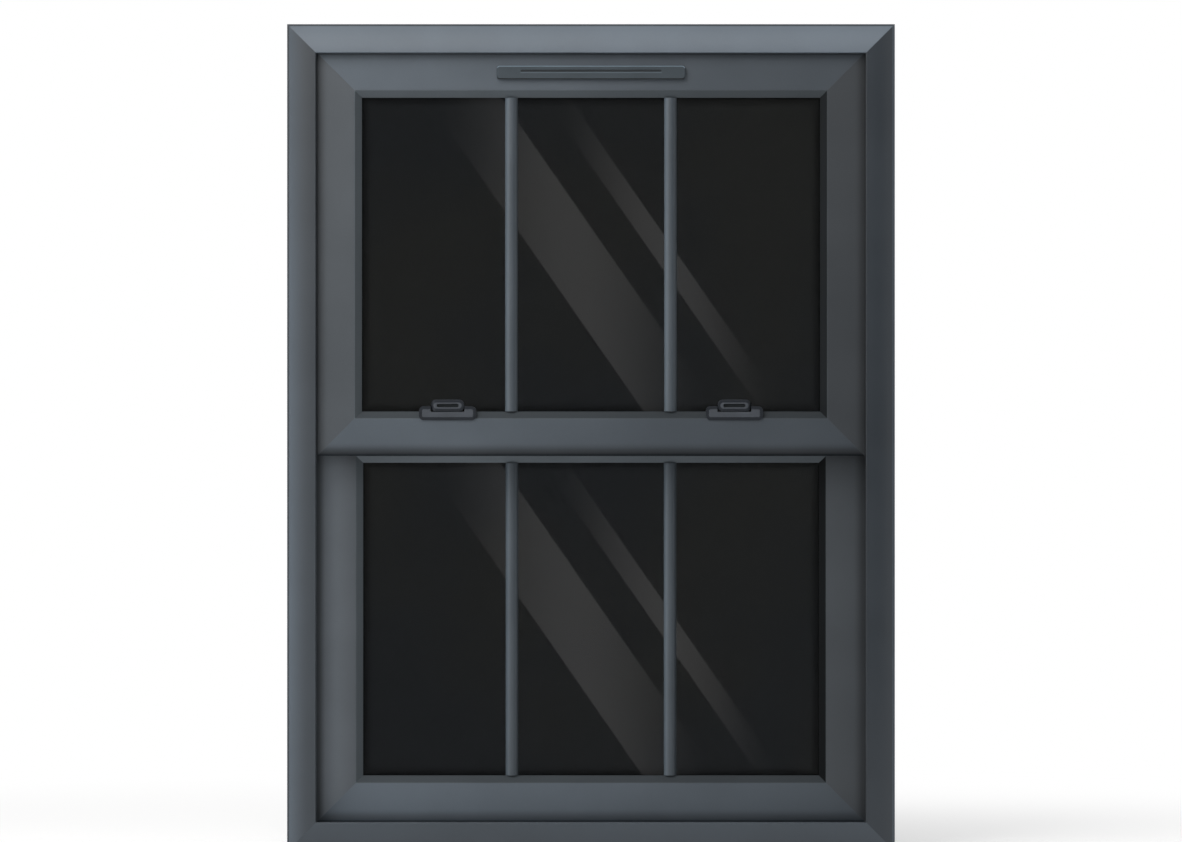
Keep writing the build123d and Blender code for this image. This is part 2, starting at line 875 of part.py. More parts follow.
# Interlock strips: two hooked strips that lie inside each other in the gap between the sashes
def interlock(side_y, side_z, root_z):
    """Hooked strip on the meeting rail face at side_y, its hook on the side_z end."""
    face = side_y * sash_gap / 2
    inner = face - side_y * interlock_plate
    hook_face = -side_y * interlock_clearance / 2
    hook_far = hook_face - side_y * interlock_wall
    with BuildPart() as strip:
        with BuildSketch(Plane.YZ):
            with BuildLine():
                Polyline(
                    (face, root_z),
                    (hook_far, root_z),
                    (hook_far, root_z + side_z * interlock_tip),
                    (hook_face, root_z + side_z * interlock_tip),
                    (hook_face, root_z + side_z * interlock_plate),
                    (inner, root_z + side_z * interlock_plate),
                    (inner, root_z + side_z * interlock_height),
                    (face, root_z + side_z * interlock_height),
                    close=True,
                )
            make_face()
        extrude(amount=interlock_half_length, both=True)
    return strip.part


hook_low = upper_low + interlock_rise
write(interlock(-1, 1, hook_low), "top_sash_interlock")
write(interlock(1, -1, hook_low + interlock_height + interlock_shift), "bottom_sash_interlock")


# Catches: the right-hand one is modelled and the left-hand one mirrored from it
def catch_shape(margin, notch_margin, low_margin):
    """Front view of the base: a low block with a horn on each side of the lever."""
    half = catch_base_width / 2 - margin
    notch_low = lever_low - lever_clearance - notch_margin
    notch_half = lever_length / 2 + lever_clearance + notch_margin
    with BuildSketch() as shape:
        with Locations((catch_centre, catch_low + low_margin)):
            Rectangle(
                2 * half,
                catch_base_height - margin - low_margin,
                align=(Align.CENTER, Align.MIN),
            )
        fillet(shape.vertices(), radius=catch_base_radius - min(margin, catch_base_radius - 1))
        with Locations((catch_centre, notch_low)):
            Rectangle(2 * notch_half, catch_base_height, align=(Align.CENTER, Align.MIN), mode=Mode.SUBTRACT)
    return shape.sketch


bead_fall = bead_depth - bead_edge - bead_quirk
front_view = Plane.XZ

with BuildPart() as right_catch_base:
    with BuildSketch(front_view.offset(-catch_front)):
        add(catch_shape(0, 0, 0))
    extrude(amount=-(catch_base_depth + catch_base_proud))
    # Underside that follows the sash's face and the sloping bead
    rear = front_sash_face + sash_depth
    slope_rear = front_sash_face + bead_quirk + bead_fall - catch_clearance
    slope_high = lower_top + bead_width + catch_clearance
    with BuildSketch(Plane.YZ.offset(catch_centre)):
        with BuildLine():
            Polyline(
                (front_sash_face, catch_low - 1),
                (front_sash_face, lower_top + bead_edge + catch_clearance),
                (slope_rear, slope_high),
                (rear, slope_high),
                (rear, catch_low - 1),
                close=True,
            )
        make_face()
    extrude(amount=catch_base_width, both=True, mode=Mode.SUBTRACT)
    # Shallow seat of the cover panel
    with BuildSketch(front_view.offset(-catch_front)):
        add(catch_shape(cover_rim, 0, cover_rim))
    extrude(amount=-cover_thickness, mode=Mode.SUBTRACT)
    upright(axis_x, axis_y, catch_low - 1, catch_high, spindle_radius + spindle_clearance, Mode.SUBTRACT)
write(right_catch_base.part, "right_catch_base")
write_mirrored(right_catch_base.part, "left_catch_base")

with BuildPart() as right_catch_cover:
    with BuildSketch(front_view.offset(-catch_front)):
        rim = cover_rim + cover_clearance
        add(catch_shape(rim, cover_clearance, rim))
    extrude(amount=-cover_thickness)
write(right_catch_cover.part, "right_catch_cover")
write_mirrored(right_catch_cover.part, "left_catch_cover")

lever_front = front_sash_face - lever_proud
lever_middle = lever_low + lever_height / 2

with BuildPart() as right_catch_lever:
    # Seen from the front: a rounded grip with an eased edge
    with BuildSketch(front_view.offset(-lever_front)):
        with Locations((catch_centre, lever_middle)):
            RectangleRounded(lever_length, lever_height, lever_corner)
    extrude(amount=-3 * barrel_radius)
    chamfer(right_catch_lever.faces().sort_by(Axis.Y)[0].edges(), length=lever_edge)
    # Seen from above: a round barrel about the spindle with a flat grip beside it
    with BuildSketch(Plane.XY.offset(lever_low)):
        with Locations((axis_x, axis_y)):
            Circle(barrel_radius)
            Rectangle(lever_length - barrel_radius, barrel_radius, align=(Align.MAX, Align.MAX))
    extrude(amount=lever_height, mode=Mode.INTERSECT)
    with BuildSketch(front_view.offset(-lever_front)):
        with Locations((catch_centre, lever_middle)):
            SlotOverall(finger_slot_length, finger_slot_height)
    extrude(amount=-finger_slot_depth, mode=Mode.SUBTRACT)
    upright(axis_x, axis_y, cam_high, lever_low + lever_height / 4, spindle_radius)
    with BuildSketch(Plane.XY.offset(cam_high)):
        with Locations((axis_x, axis_y)):
            Rectangle(tenon_width, tenon_width)
    extrude(amount=-cam_thickness)
write(right_catch_lever.part, "right_catch_lever")
write_mirrored(right_catch_lever.part, "left_catch_lever")

with BuildPart() as right_catch_cam:
    with BuildSketch(Plane.XY.offset(cam_low)):
        with Locations((axis_x - cam_radius, axis_y)):
            SlotOverall(cam_length + cam_radius, 2 * cam_radius, align=(Align.MIN, Align.CENTER))
        with Locations((axis_x, axis_y)):
            Rectangle(
                tenon_width + 2 * tenon_clearance, tenon_width + 2 * tenon_clearance, mode=Mode.SUBTRACT
            )
    extrude(amount=cam_thickness)
write(right_catch_cam.part, "right_catch_cam")
write_mirrored(right_catch_cam.part, "left_catch_cam")

with BuildPart() as catch_keeps:
    keep_middle = (keep_slot_x[0] + keep_slot_x[1]) / 2
    keep_z = (cam_low + cam_high) / 2
    for side_x in (-1, 1):
        block(
            (side_x * keep_middle - keep_length / 2, side_x * keep_middle + keep_length / 2),
            (rear_sash_face - keep_thickness, rear_sash_face),
            (keep_z - keep_height / 2, keep_z + keep_height / 2),
        )
    chamfer(catch_keeps.edges().filter_by(Axis.Y), length=keep_corner)
    cut_keep_slots(rear_sash_face - keep_thickness - 1, rear_sash_face + 1)
write(catch_keeps.part, "catch_keeps")

# Trickle vent: body on the rail, flap that tilts forward about its lower edge, outer grille
vent_low = vent_middle - vent_height / 2
vent_high = vent_middle + vent_height / 2
flap_front = front_sash_face - vent_flap_proud
hinge_y = front_sash_face - hinge_radius - hinge_gap
hinge_z = vent_low + hinge_radius
vent_half = vent_length / 2
lug_far = vent_half - vent_skin - vent_side_gap
lug_near = lug_far - vent_lug_length
base_front = front_sash_face - vent_base_proud
base_low = hinge_z + hinge_radius + hinge_gap
base_high = vent_high - vent_skin - vent_top_gap

with BuildPart() as vent_base:
    block((-lug_far, lug_far), (base_front, front_sash_face), (base_low, base_high))
    for side_x in (-1, 1):
        ends = sorted((side_x * lug_near, side_x * lug_far))
        block(ends, (hinge_y - hinge_radius, front_sash_face), (vent_low, base_low))
    half = air_slot_length / 2
    air_z = (vent_middle - air_slot_height / 2, vent_middle + air_slot_height / 2)
    block((-half, half), (base_front - 1, front_sash_face + 1), air_z, Mode.SUBTRACT)
    pin_hole = hinge_pin_radius + hinge_pin_clearance
    crosswise(-lug_far - 1, lug_far + 1, hinge_y, hinge_z, pin_hole, Mode.SUBTRACT)
write(vent_base.part, "vent_base")

with BuildPart() as vent_flap:
    with BuildSketch(front_view.offset(-flap_front)):
        with Locations((0, vent_middle)):
            RectangleRounded(vent_length, vent_height, vent_corner_radius)
    extrude(amount=-(vent_flap_proud - hinge_gap))
    chamfer(vent_flap.faces().sort_by(Axis.Y)[0].edges(), length=vent_edge)
    # Hollow behind the skin, open towards the rail and at the foot
    hollow = vent_half - vent_skin
    block(
        (-hollow, hollow),
        (flap_front + vent_skin, front_sash_face),
        (vent_low - 1, vent_high - vent_skin),
        Mode.SUBTRACT,
    )
    # The foot of the end walls clears the rail when the flap tilts
    with BuildSketch(Plane.YZ):
        with Locations((hinge_y, vent_low - 1)):
            Rectangle(vent_flap_proud, hinge_radius + 1, align=(Align.MIN, Align.MIN))
        with Locations((hinge_y, hinge_z)):
            Circle(hinge_radius, mode=Mode.SUBTRACT)
    extrude(amount=vent_half + 1, both=True, mode=Mode.SUBTRACT)
    # Hinge barrel between the lugs, joined to the skin, and the two end pins
    barrel_far = lug_near - vent_side_gap
    with BuildSketch(Plane.YZ):
        with Locations((hinge_y, hinge_z)):
            Circle(hinge_radius)
            Rectangle(
                hinge_y - flap_front - vent_skin / 2, 2 * hinge_radius, align=(Align.MAX, Align.CENTER)
            )
    extrude(amount=barrel_far, both=True)
    for side_x in (-1, 1):
        crosswise(side_x * (lug_near + 1), side_x * (vent_half - 1), hinge_y, hinge_z, hinge_pin_radius)
    # Grip slot
    with BuildSketch(front_view.offset(-flap_front)):
        with Locations((0, vent_middle + vent_slot_rise)):
            SlotOverall(vent_slot_length, vent_slot_height)
    extrude(amount=-vent_slot_depth, mode=Mode.SUBTRACT)
write(vent_flap.part, "vent_flap")

with BuildPart() as vent_grille:
    rear = front_sash_face + sash_depth
    block(
        (-grille_length / 2, grille_length / 2),
        (rear - grille_depth, rear),
        (vent_middle - grille_height / 2, vent_middle + grille_height / 2),
    )
    with BuildSketch(Plane.XZ.offset(-rear)):
        with Locations((0, vent_middle)):
            with GridLocations(air_slot_length / grille_slit_count, 0, grille_slit_count, 1):
                Rectangle(grille_slit_width, grille_slit_height)
    extrude(amount=grille_depth, mode=Mode.SUBTRACT)
write(vent_grille.part, "vent_grille")
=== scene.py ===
"""Materials, screws, light and camera of an anthracite double-hung sash window."""

import json
from math import cos, pi, radians, sin

import bpy
from mathutils import Matrix, Vector


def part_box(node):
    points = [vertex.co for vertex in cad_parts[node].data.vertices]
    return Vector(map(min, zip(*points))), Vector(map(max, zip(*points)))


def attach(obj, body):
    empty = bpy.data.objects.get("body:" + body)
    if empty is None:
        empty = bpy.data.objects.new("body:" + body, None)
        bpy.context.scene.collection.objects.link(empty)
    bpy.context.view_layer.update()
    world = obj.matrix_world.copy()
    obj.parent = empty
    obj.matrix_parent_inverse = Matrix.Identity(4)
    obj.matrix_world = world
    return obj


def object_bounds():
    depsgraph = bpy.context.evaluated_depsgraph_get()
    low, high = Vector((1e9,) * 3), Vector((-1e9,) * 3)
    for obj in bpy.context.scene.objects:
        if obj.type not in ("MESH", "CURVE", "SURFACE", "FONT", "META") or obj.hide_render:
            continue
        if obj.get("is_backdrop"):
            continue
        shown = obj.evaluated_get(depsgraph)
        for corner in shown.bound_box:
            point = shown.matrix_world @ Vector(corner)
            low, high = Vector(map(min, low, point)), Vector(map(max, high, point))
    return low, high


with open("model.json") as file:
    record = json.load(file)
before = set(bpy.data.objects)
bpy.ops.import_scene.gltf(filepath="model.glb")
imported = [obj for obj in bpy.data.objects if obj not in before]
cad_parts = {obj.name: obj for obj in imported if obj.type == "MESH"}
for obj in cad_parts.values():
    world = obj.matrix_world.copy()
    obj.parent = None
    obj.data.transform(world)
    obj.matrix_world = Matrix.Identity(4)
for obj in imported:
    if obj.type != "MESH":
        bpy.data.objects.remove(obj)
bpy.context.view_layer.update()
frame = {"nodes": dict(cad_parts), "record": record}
nodes = frame["nodes"]

# All sizes are in metres, in the frame's own axes: X right, Y away from the room, Z up.
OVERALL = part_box("frame_head")
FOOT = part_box("frame_sill")[0].z
TOP = OVERALL[1].z
HEIGHT = TOP - FOOT
FRONT = OVERALL[0].y
HALF_WIDTH = OVERALL[1].x
SASH_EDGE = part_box("top_sash_right_stile")[1].x

# The frame's lip, and its outermost strip, which stands back from the sloping face; a painted
# dark line runs along the strip's edge, and STRIP_BACK is how deep the right jamb's painted
# highlight on the strip reaches
LIP_REACH = 0.044
LIP_X = HALF_WIDTH - LIP_REACH
LIP_Z = TOP - LIP_REACH
STRIP_Y = FRONT + 0.0145
STRIP_HALF = 0.0007
STRIP_BACK = FRONT + 0.02

# Width of a sash's painted shade band, beside the frame's lip and along a lower rail's lower
# edge
BAND = 0.017

# Glass: what the beads cover of a pane, the share of the painted shade along its border, and
# where that fades
BORDER_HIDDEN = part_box("top_sash_front_pane")[1].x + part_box("top_sash_left_stile")[1].x
BORDER_SHADE_SHARE = 0.62
BORDER_SHADE_FADE = (-0.001, 0.016)

# Vent flap: half length and half height of its finger groove, the groove's drop from the top,
# and how far under the groove its painted highlight lies
VENT_GROOVE = (0.106, 0.00175)
VENT_GROOVE_DROP = 0.0075
VENT_LIP_DROP = 0.0007

# Catch lever: its height, and half the length and height of its front panel
LEVER_HEIGHT = 0.018
LEVER_PANEL = (0.0213, 0.0046)
LEVER_CENTRE = sum(corner.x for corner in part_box("right_catch_lever")) / 2
LEVER_SOFT = 0.0003

# Colours, linear
WHITE = (1.0, 1.0, 1.0)
COAT = (0.0725, 0.090, 0.110)
STILE_COAT = (0.0785, 0.0905, 0.104)
BEAD_COAT = (0.072, 0.0835, 0.093)
BAR_COAT = (0.052, 0.065, 0.078)
CATCH_DARK = (0.0135, 0.0165, 0.0215)
CATCH_LIGHT = (0.051, 0.058, 0.069)
# Painted shade on the floor of the lever's finger slot
CATCH_SLOT_SHADE = (0.016, 0.020, 0.023)
VENT_COAT = (0.034, 0.0455, 0.055)
GLASS_TINTS = ((0.094, 0.099, 0.104), (0.104, 0.106, 0.104))

# Directions that faces look in, and stretching of a pattern along Z
UP, DOWN, RIGHT, LEFT = (0, 0, 1), (0, 0, -1), (1, 0, 0), (-1, 0, 0)
LENGTHWAYS = (1, 1, 0.02)

# Part of a pattern's range that colour and roughness follow, and samples of rounded edges
PATTERN_SPAN = (0.3, 0.7)
EDGE_SAMPLES = 6


# Colour helpers
def shaded(colour, factor):
    """Colour made darker or lighter."""
    return tuple(channel * factor for channel in colour)


def grey(level):
    """Colour without a hue."""
    return (level,) * 3


def rgba(colour):
    """Colour with its alpha; a link stays as it is."""
    return colour if isinstance(colour, bpy.types.NodeSocket) else (*colour, 1.0)


# Node helpers
def put(tree, kind, inputs=None, **settings):
    """A new shader node with its settings, and its inputs filled with values or links."""
    made = tree.nodes.new("ShaderNode" + kind)
    for key, value in settings.items():
        setattr(made, key, value)
    for key, value in (inputs or {}).items():
        if isinstance(value, bpy.types.NodeSocket):
            tree.links.new(value, made.inputs[key])
        else:
            made.inputs[key].default_value = value
    return made


def calc(tree, operation, *values):
    """Result of a Math node."""
    return put(tree, "Math", dict(enumerate(values)), operation=operation).outputs[0]


def product(tree, first, *others):
    """All values multiplied."""
    for value in others:
        first = calc(tree, "MULTIPLY", first, value)
    return first


def apart(tree, value, middle):
    """Distance between a value and a middle."""
    return calc(tree, "ABSOLUTE", calc(tree, "SUBTRACT", value, middle))


def ease(tree, value, start, end, low=0.0, high=1.0):
    """Value that goes smoothly from low to high while the input goes from start to end."""
    inputs = {"Value": value, "From Min": start, "From Max": end, "To Min": low, "To Max": high}
    return put(tree, "MapRange", inputs, interpolation_type="SMOOTHSTEP").outputs[0]


def between(tree, value, low, high, soft):
    """1 between two limits, going softly to 0 at both."""
    rising = ease(tree, value, low, low + soft)
    return product(tree, rising, ease(tree, value, high, high - soft))


def axes(tree, place):
    """The coordinates X, Y and Z of a place."""
    return put(tree, "SeparateXYZ", {0: place}).outputs


def blend(tree, factor, first, second):
    """Colour between two colours."""
    inputs = {0: factor, 6: rgba(first), 7: rgba(second)}
    return put(tree, "Mix", inputs, data_type="RGBA").outputs[2]


def scaled(tree, colour, factor):
    """Colour times a linked factor."""
    inputs = {0: colour, "Scale": factor}
    return put(tree, "VectorMath", inputs, operation="SCALE").outputs[0]


def noise(tree, place, scale, detail=2.0, roughness=0.5):
    """Noise from 0 to 1."""
    inputs = {"Vector": place, "Scale": scale, "Detail": detail, "Roughness": roughness}
    return put(tree, "TexNoise", inputs).outputs[0]


def stretched(tree, place, factors):
    """Coordinates scaled by axis, so that a pattern runs long along the small factors."""
    return put(tree, "Mapping", {"Vector": place, "Scale": factors}).outputs[0]


def seen_rays(tree):
    """1 for the rays that show the surroundings: straight, mirrored or through the glass."""
    path = put(tree, "LightPath").outputs
    through = calc(tree, "MAXIMUM", path["Is Glossy Ray"], path["Is Transmission Ray"])
    return calc(tree, "MAXIMUM", path["Is Camera Ray"], through)


def cleared(owner):
    """Empty node tree of a material or a world."""
    owner.use_nodes = True
    owner.node_tree.nodes.clear()
    return owner.node_tree


# Surface helpers
def new_material(name, **surface):
    """Node material, its tree, its surface shader and its place in the object."""
    material = bpy.data.materials.new(name)
    material.use_nodes = True
    tree = material.node_tree
    shader = tree.nodes["Principled BSDF"]
    for key, value in surface.items():
        shader.inputs[key.replace("_", " ")].default_value = value
    place = put(tree, "TexCoord").outputs["Object"]
    return material, tree, shader, place


def join(tree, source, shader, socket):
    """Link into one of the shader's sockets."""
    tree.links.new(source, shader.inputs[socket])


def mottled(tree, pattern, colour, low, high):
    """Colour that a pattern shades between two factors."""
    factor = ease(tree, pattern, *PATTERN_SPAN)
    return blend(tree, factor, shaded(colour, low), shaded(colour, high))


def roughen(tree, shader, pattern, low, high):
    """Roughness that a pattern changes between two values."""
    join(tree, ease(tree, pattern, *PATTERN_SPAN, low, high), shader, "Roughness")


def rounded(tree, radius):
    """Normals of a piece as if its edges were rounded."""
    return put(tree, "Bevel", {"Radius": radius}, samples=EDGE_SAMPLES).outputs[0]


def relief(tree, shader, height, distance, strength=1.0, edge=0.0):
    """Bump, over edges that are rounded by the given radius."""
    inputs = {"Height": height, "Distance": distance, "Strength": strength}
    if edge:
        inputs["Normal"] = rounded(tree, edge)
    join(tree, put(tree, "Bump", inputs).outputs[0], shader, "Normal")


def alignment(tree, first, second):
    """1 where two directions are the same, 0 where they are square to each other."""
    inputs = {0: first, 1: second}
    return put(tree, "VectorMath", inputs, operation="DOT_PRODUCT").outputs["Value"]


def edge_mask(tree, radius, start, end):
    """1 along the edges of a piece and 0 on its faces."""
    soft = rounded(tree, radius)
    plain = put(tree, "NewGeometry").outputs["Normal"]
    return ease(tree, alignment(tree, soft, plain), end, start)


# Tones of painted light and shade: each makes a factor of a piece's colour, 1 where it changes
# nothing
def toned(tree, place, colour, tones):
    """Colour after all of a material's tones."""
    for make in tones:
        colour = scaled(tree, colour, make(tree, place))
    return colour


def gradient(axis, start, end):
    """Tone that changes along an axis between two pairs of place and share."""

    def tone(tree, place):
        return ease(tree, axes(tree, place)[axis], start[0], end[0], start[1], end[1])

    return tone


def facing(direction, share):
    """Painted light and shade by face direction: a tone that goes to a share on the faces that
    look in a direction.
    """

    def tone(tree, _):
        normal = put(tree, "NewGeometry").outputs["Normal"]
        turned = alignment(tree, normal, direction)
        return ease(tree, turned, start=0.1, end=0.6, low=1.0, high=share)

    return tone


def stripe(axis, middle, half, share):
    """Tone that goes to a share in a narrow stripe across an axis."""

    def tone(tree, place):
        away = apart(tree, axes(tree, place)[axis], middle)
        return ease(tree, away, half, half * 1.5, share, 1.0)

    return tone


def front_only(make, depth):
    """Keeps a tone to the part of a piece that lies in front of a depth."""

    def tone(tree, place):
        front = ease(tree, axes(tree, place)["Y"], start=depth + 0.001, end=depth)
        change = calc(tree, "SUBTRACT", make(tree, place), 1.0)
        return calc(tree, "ADD", product(tree, change, front), 1.0)

    return tone


# Materials
def powder_coat(name, colour, *tones, edge=0.0005, level=0.5, sheen=None):
    """Satin powder coat: fine orange peel, faint clouding and worn edges, with painted light and
    shade from its tones, and a sheen factor that lowers the specular level along painted shadow
    lines.
    """
    material, tree, shader, place = new_material(name, Specular_IOR_Level=level)
    clouds = noise(tree, place, scale=7, detail=5, roughness=0.55)
    grain = noise(tree, place, scale=950, roughness=0.6)
    tone = mottled(tree, clouds, colour, 0.93, 1.06)
    specks = product(tree, ease(tree, grain, 0.35, 0.72), 0.22)
    tone = blend(tree, specks, tone, shaded(colour, 1.3))
    wear = ease(tree, clouds, 0.35, 0.65, low=0.2, high=0.5)
    worn = product(tree, edge_mask(tree, radius=0.0007, start=0.75, end=0.97), wear)
    tone = blend(tree, worn, tone, shaded(colour, 1.75))
    join(tree, toned(tree, place, tone, tones), shader, "Base Color")
    # Where given, the specular level is lowered along a painted shadow line, as part of that
    # painted shade
    if sheen:
        join(tree, product(tree, sheen(tree, place), level), shader, "Specular IOR Level")
    join(tree, ease(tree, clouds, 0.25, 0.75, low=0.40, high=0.48), shader, "Roughness")
    relief(tree, shader, grain, distance=0.00006, strength=0.5, edge=edge)
    return material


def tinted_glass(sash):
    """Pane of a dark sealed unit, with painted shade along its border and a trace of dust on it.
    """
    material, tree, shader, place = new_material(
        sash + "_glass", Transmission_Weight=1.0, IOR=1.5, Specular_IOR_Level=0.5
    )
    clouds = noise(tree, place, scale=2.4, detail=3)
    dust = noise(tree, place, scale=480, roughness=0.7)
    tint = blend(tree, ease(tree, clouds, 0.35, 0.65), *GLASS_TINTS)
    low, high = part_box(sash + "_front_pane")
    x, _, z = axes(tree, place)
    # Painted shade along the pane's border, inside the beads
    side = calc(tree, "SUBTRACT", high.x - BORDER_HIDDEN, calc(tree, "ABSOLUTE", x))
    above = calc(tree, "SUBTRACT", high.z - BORDER_HIDDEN, z)
    below = calc(tree, "SUBTRACT", z, low.z + BORDER_HIDDEN)
    near = calc(tree, "MINIMUM", side, calc(tree, "MINIMUM", above, below))
    border = ease(tree, near, *BORDER_SHADE_FADE, BORDER_SHADE_SHARE)
    join(tree, scaled(tree, tint, border), shader, "Base Color")
    join(tree, ease(tree, dust, 0.66, 0.8, low=0.0, high=0.012), shader, "Roughness")
    return material


def spark_eroded(tree, place):
    """Fine grain and faint clouds of moulded plastic."""
    grain = noise(tree, place, scale=1500, detail=3, roughness=0.6)
    return grain, noise(tree, place, scale=22, detail=3)


def moulding(name, colour, rough, edge=0.0003):
    """Moulded plastic with a fine spark-eroded texture."""
    material, tree, shader, place = new_material(name, Specular_IOR_Level=0.35)
    grain, clouds = spark_eroded(tree, place)
    join(tree, mottled(tree, clouds, colour, 0.9, 1.1), shader, "Base Color")
    roughen(tree, shader, grain, rough - 0.06, rough + 0.06)
    relief(tree, shader, grain, distance=0.00005, strength=0.5, edge=edge)
    return material


def vent_moulding():
    """Moulded vent flap with painted light and shade: a painted highlight on its top, painted
    shade on its underside, faces that look right lighter, painted shade in its finger groove and
    a painted highlight along the groove's lower lip.
    """
    material, tree, shader, place = new_material("vent_moulding", Specular_IOR_Level=0.4)
    grain, clouds = spark_eroded(tree, place)
    tone = mottled(tree, clouds, VENT_COAT, 0.93, 1.07)
    # Painted light and shade: top faces much lighter, the underside nearly black, faces that
    # look right lighter
    tone = toned(tree, place, tone, (facing(UP, 4.6), facing(DOWN, 0.1), facing(RIGHT, 1.5)))
    low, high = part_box("vent_flap")
    x, y, z = axes(tree, place)
    half_x, half_z = VENT_GROOVE
    groove_z = high.z - VENT_GROOVE_DROP
    # Painted shade in the finger groove
    along = ease(tree, calc(tree, "ABSOLUTE", x), half_x + 0.0005, half_x)
    across = ease(tree, apart(tree, z, groove_z), half_z + 0.0003, half_z)
    deep = ease(tree, y, start=low.y + 0.0002, end=low.y + 0.0005)
    tone = blend(tree, product(tree, across, along, deep), tone, shaded(VENT_COAT, 0.45))
    # Painted highlight along the groove's lower lip
    from_lip = apart(tree, z, groove_z - half_z - VENT_LIP_DROP)
    beside = ease(tree, from_lip, start=0.0009, end=0.0005)
    flush = ease(tree, y, start=low.y + 0.0003, end=low.y + 0.0001)
    lip = product(tree, beside, along, flush)
    join(tree, blend(tree, lip, tone, shaded(VENT_COAT, 1.9)), shader, "Base Color")
    roughen(tree, shader, grain, 0.36, 0.48)
    relief(tree, shader, grain, distance=0.00005, strength=0.5, edge=0.0004)
    return material


def gasket_rubber():
    """Extruded rubber with fine die lines and a dusty bloom."""
    material, tree, shader, place = new_material("gasket_rubber", Specular_IOR_Level=0.3)
    bloom = noise(tree, place, scale=60, detail=4, roughness=0.7)
    lines = noise(tree, stretched(tree, place, (1, 60, 1)), scale=40)
    tone = blend(tree, ease(tree, bloom, 0.4, 0.8), grey(0.008), grey(0.018))
    join(tree, tone, shader, "Base Color")
    roughen(tree, shader, bloom, 0.6, 0.78)
    relief(tree, shader, lines, distance=0.0001, strength=0.4, edge=0.0003)
    return material


def woven_pile():
    """Brushed polypropylene pile: upright hairs on a woven base."""
    material, tree, shader, place = new_material(
        "woven_pile", Specular_IOR_Level=0.15, Sheen_Weight=0.35, Sheen_Roughness=0.5
    )
    hairs = noise(tree, stretched(tree, place, (1, 0.06, 1)), scale=2600, roughness=0.6)
    tufts = put(tree, "TexVoronoi", {"Vector": place, "Scale": 700}).outputs["Distance"]
    height = calc(tree, "ADD", hairs, product(tree, tufts, 0.5))
    tone = blend(tree, ease(tree, hairs, 0.35, 0.65), grey(0.022), grey(0.062))
    join(tree, tone, shader, "Base Color")
    roughen(tree, shader, hairs, 0.8, 0.95)
    relief(tree, shader, height, distance=0.0004, strength=0.9)
    return material


def metal(name, colour, rough, brush, scale):
    """Bare or plated metal with drawing lines that run along the small factors of brush."""
    material, tree, shader, place = new_material(name, Metallic=1.0)
    lines = noise(tree, stretched(tree, place, brush), scale, detail=3, roughness=0.6)
    clouds = noise(tree, place, scale=30, detail=3, roughness=0.6)
    tone = mottled(tree, lines, colour, 0.88, 1.06)
    tone = blend(tree, ease(tree, clouds, 0.55, 0.8), tone, shaded(colour, 0.75))
    join(tree, tone, shader, "Base Color")
    roughen(tree, shader, lines, rough - 0.06, rough + 0.08)
    relief(tree, shader, lines, distance=0.00004, strength=0.5, edge=0.0003)
    return material


def spacer_bar():
    """Dark anodised spacer with fine breather pin-holes."""
    material, tree, shader, place = new_material("spacer_bar", Metallic=0.6, Roughness=0.42)
    dots = put(tree, "TexVoronoi", {"Vector": place, "Scale": 330}).outputs["Distance"]
    pin = ease(tree, dots, 0.10, 0.16)
    join(tree, blend(tree, pin, grey(0.004), (0.030, 0.032, 0.035)), shader, "Base Color")
    relief(tree, shader, pin, distance=0.0002, strength=0.4, edge=0.0003)
    return material


def spring_coil():
    """Spring wire wound around the tube's inside."""
    material, tree, shader, place = new_material("spring_coil", Metallic=1.0)
    inputs = {"Vector": place, "Scale": 160, "Distortion": 0.0}
    wave = put(tree, "TexWave", inputs, wave_type="BANDS", bands_direction="Z").outputs["Fac"]
    tone = blend(tree, wave, (0.12, 0.12, 0.125), (0.46, 0.47, 0.49))
    join(tree, tone, shader, "Base Color")
    join(tree, ease(tree, wave, 0, 1, low=0.5, high=0.3), shader, "Roughness")
    relief(tree, shader, wave, distance=0.0006, strength=0.8)
    return material


def finish_casting(tree, shader, place, tone, bare, share):
    """Satin grain of a die casting, and its edges worn to a bare colour."""
    grain = noise(tree, place, scale=1300)
    worn = product(tree, edge_mask(tree, radius=0.0006, start=0.7, end=0.95), share)
    join(tree, blend(tree, worn, tone, bare), shader, "Base Color")
    roughen(tree, shader, grain, 0.34, 0.44)
    relief(tree, shader, grain, distance=0.00004, strength=0.4, edge=0.0004)


def catch_casting(name, colour):
    """Die casting in a smooth satin coat."""
    material, tree, shader, place = new_material(name, Specular_IOR_Level=0.32)
    clouds = noise(tree, place, scale=40, detail=3)
    tone = mottled(tree, clouds, colour, 0.93, 1.07)
    finish_casting(tree, shader, place, tone, bare=shaded(colour, 1.7), share=0.2)
    return material


def two_tone_lever():
    """Lever with a lighter panel on its front and a dark rim, as two coats, and painted shade in
    the finger slot of its panel.
    """
    material, tree, shader, place = new_material("catch_lever", Specular_IOR_Level=0.32)
    low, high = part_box("right_catch_lever")
    x, y, z = axes(tree, place)
    half_x, half_z = LEVER_PANEL
    across = apart(tree, calc(tree, "ABSOLUTE", x), LEVER_CENTRE)
    upward = apart(tree, z, high.z - LEVER_HEIGHT / 2)
    beyond = calc(tree, "MAXIMUM", calc(tree, "SUBTRACT", across, half_x - half_z), 0.0)
    square = calc(tree, "ADD", product(tree, beyond, beyond), product(tree, upward, upward))
    radius = calc(tree, "SQRT", square)
    panel = ease(tree, radius, half_z + LEVER_SOFT, half_z - LEVER_SOFT)
    front = ease(tree, y, start=low.y + 0.0026, end=low.y + 0.0018)
    # Painted shade on the floor of the finger slot
    slot = ease(tree, y, start=low.y + 0.0008, end=low.y + 0.0014)
    tone = blend(tree, product(tree, panel, front), CATCH_DARK, CATCH_LIGHT)
    tone = blend(tree, product(tree, panel, slot), tone, CATCH_SLOT_SHADE)
    finish_casting(tree, shader, place, tone, bare=shaded(CATCH_LIGHT, 1.5), share=0.12)
    return material


